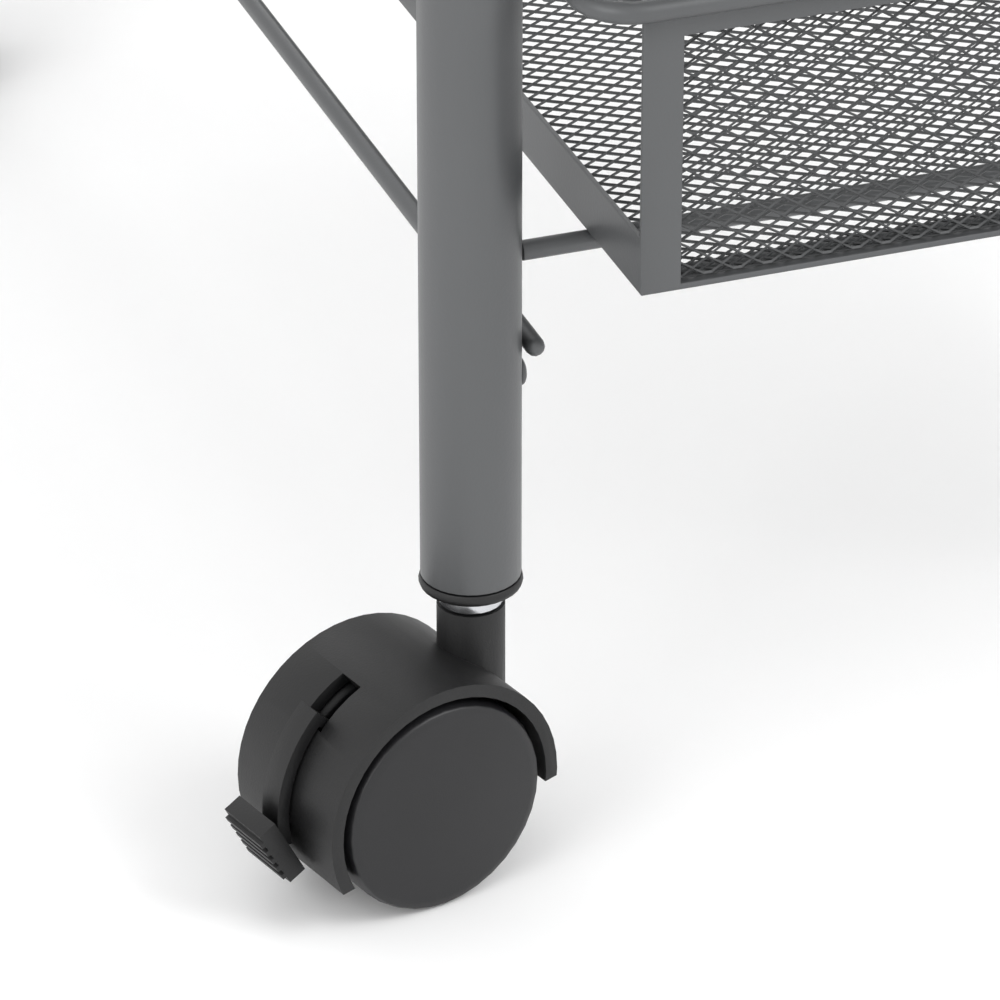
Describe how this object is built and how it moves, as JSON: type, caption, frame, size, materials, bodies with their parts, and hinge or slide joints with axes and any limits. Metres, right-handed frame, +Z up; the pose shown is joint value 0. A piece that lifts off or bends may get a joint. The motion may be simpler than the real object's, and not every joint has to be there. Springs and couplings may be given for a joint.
{
  "type": "rolling utility cart",
  "caption": "Wheeled storage cart with round tube posts, wire rails, sliding mesh baskets and swivel casters with foot brakes.",
  "frame": {"origin": "on the floor under the middle of the cart", "axes": "+Z up, -Y the way the baskets pull out, +X to the right seen from the front"},
  "size_m": [0.4092, 0.4892, 0.633],
  "materials": {
    "frame_steel": "satin grey powder coat",
    "basket_steel": "satin grey powder coat",
    "basket_mesh": "grey powder coat on expanded metal",
    "plated_steel": "bright zinc plate",
    "wheel_plastic": "fine satin",
    "black_plastic": "fine moulded grain"
  },
  "bodies": {
    "frame": {"post_front_left": "frame_steel", "foot_plug_front_left": "black_plastic", "top_cap_front_left": "black_plastic", "stem_front_left": "plated_steel", "post_front_right": "frame_steel", "foot_plug_front_right": "black_plastic", "top_cap_front_right": "black_plastic", "stem_front_right": "plated_steel", "post_rear_left": "frame_steel", "foot_plug_rear_left": "black_plastic", "top_cap_rear_left": "black_plastic", "stem_rear_left": "plated_steel", "post_rear_right": "frame_steel", "foot_plug_rear_right": "black_plastic", "top_cap_rear_right": "black_plastic", "stem_rear_right": "plated_steel", "cross_rail_front_1": "frame_steel", "cross_rail_rear_1": "frame_steel", "runner_left_1": "frame_steel", "runner_right_1": "frame_steel", "cross_rail_front_2": "frame_steel", "cross_rail_rear_2": "frame_steel", "runner_left_2": "frame_steel", "runner_right_2": "frame_steel", "cross_rail_front_3": "frame_steel", "cross_rail_rear_3": "frame_steel", "runner_left_3": "frame_steel", "runner_right_3": "frame_steel", "side_rail_left": "frame_steel", "peg_left": "frame_steel", "side_rail_right": "frame_steel", "peg_right": "frame_steel"},
    "basket_1": {"basket_frame_1": "basket_steel", "basket_mesh_1": "basket_mesh", "basket_rim_1": "basket_steel"},
    "basket_2": {"basket_frame_2": "basket_steel", "basket_mesh_2": "basket_mesh", "basket_rim_2": "basket_steel"},
    "basket_3": {"basket_frame_3": "basket_steel", "basket_mesh_3": "basket_mesh", "basket_rim_3": "basket_steel"},
    "caster_front_left": {"hood_front_left": "black_plastic"},
    "wheels_front_left": {"wheel_near_front_left": "wheel_plastic", "wheel_far_front_left": "wheel_plastic", "axle_front_left": "plated_steel"},
    "brake_front_left": {"brake_lever_front_left": "black_plastic"},
    "caster_front_right": {"hood_front_right": "black_plastic"},
    "wheels_front_right": {"wheel_near_front_right": "wheel_plastic", "wheel_far_front_right": "wheel_plastic", "axle_front_right": "plated_steel"},
    "brake_front_right": {"brake_lever_front_right": "black_plastic"},
    "caster_rear_left": {"hood_rear_left": "black_plastic"},
    "wheels_rear_left": {"wheel_near_rear_left": "wheel_plastic", "wheel_far_rear_left": "wheel_plastic", "axle_rear_left": "plated_steel"},
    "caster_rear_right": {"hood_rear_right": "black_plastic"},
    "wheels_rear_right": {"wheel_near_rear_right": "wheel_plastic", "wheel_far_rear_right": "wheel_plastic", "axle_rear_right": "plated_steel"}
  },
  "joints": [
    {"name": "basket_slide_1", "type": "slide", "parent": "frame", "child": "basket_1", "axis": [0, -1, 0], "range_m": [0, 0.2]},
    {"name": "basket_slide_2", "type": "slide", "parent": "frame", "child": "basket_2", "axis": [0, -1, 0], "range_m": [0, 0.2]},
    {"name": "basket_slide_3", "type": "slide", "parent": "frame", "child": "basket_3", "axis": [0, -1, 0], "range_m": [0, 0.2]},
    {"name": "swivel_front_left", "type": "hinge", "parent": "frame", "child": "caster_front_left", "pos_m": [-0.145, -0.20602, 0.06], "axis": [0, 0, 1], "continuous": true},
    {"name": "roll_front_left", "type": "hinge", "parent": "caster_front_left", "child": "wheels_front_left", "pos_m": [-0.16384, -0.21107, 0.025], "axis": [0.2588, -0.9659, 0], "continuous": true},
    {"name": "brake_lift_front_left", "type": "hinge", "parent": "caster_front_left", "child": "brake_front_left", "pos_m": [-0.16384, -0.21107, 0.025], "axis": [-0.2588, 0.9659, 0], "range_deg": [0, 14]},
    {"name": "swivel_front_right", "type": "hinge", "parent": "frame", "child": "caster_front_right", "pos_m": [0.145, -0.20602, 0.06], "axis": [0, 0, 1], "continuous": true},
    {"name": "roll_front_right", "type": "hinge", "parent": "caster_front_right", "child": "wheels_front_right", "pos_m": [0.16384, -0.21107, 0.025], "axis": [0.2588, 0.9659, 0], "continuous": true},
    {"name": "brake_lift_front_right", "type": "hinge", "parent": "caster_front_right", "child": "brake_front_right", "pos_m": [0.16384, -0.21107, 0.025], "axis": [-0.2588, -0.9659, 0], "range_deg": [0, 14]},
    {"name": "swivel_rear_left", "type": "hinge", "parent": "frame", "child": "caster_rear_left", "pos_m": [-0.145, 0.21398, 0.06], "axis": [0, 0, 1], "continuous": true},
    {"name": "roll_rear_left", "type": "hinge", "parent": "caster_rear_left", "child": "wheels_rear_left", "pos_m": [-0.16384, 0.21902, 0.025], "axis": [-0.2588, -0.9659, 0], "continuous": true},
    {"name": "swivel_rear_right", "type": "hinge", "parent": "frame", "child": "caster_rear_right", "pos_m": [0.145, 0.21398, 0.06], "axis": [0, 0, 1], "continuous": true},
    {"name": "roll_rear_right", "type": "hinge", "parent": "caster_rear_right", "child": "wheels_rear_right", "pos_m": [0.16384, 0.21902, 0.025], "axis": [-0.2588, 0.9659, 0], "continuous": true}
  ]
}
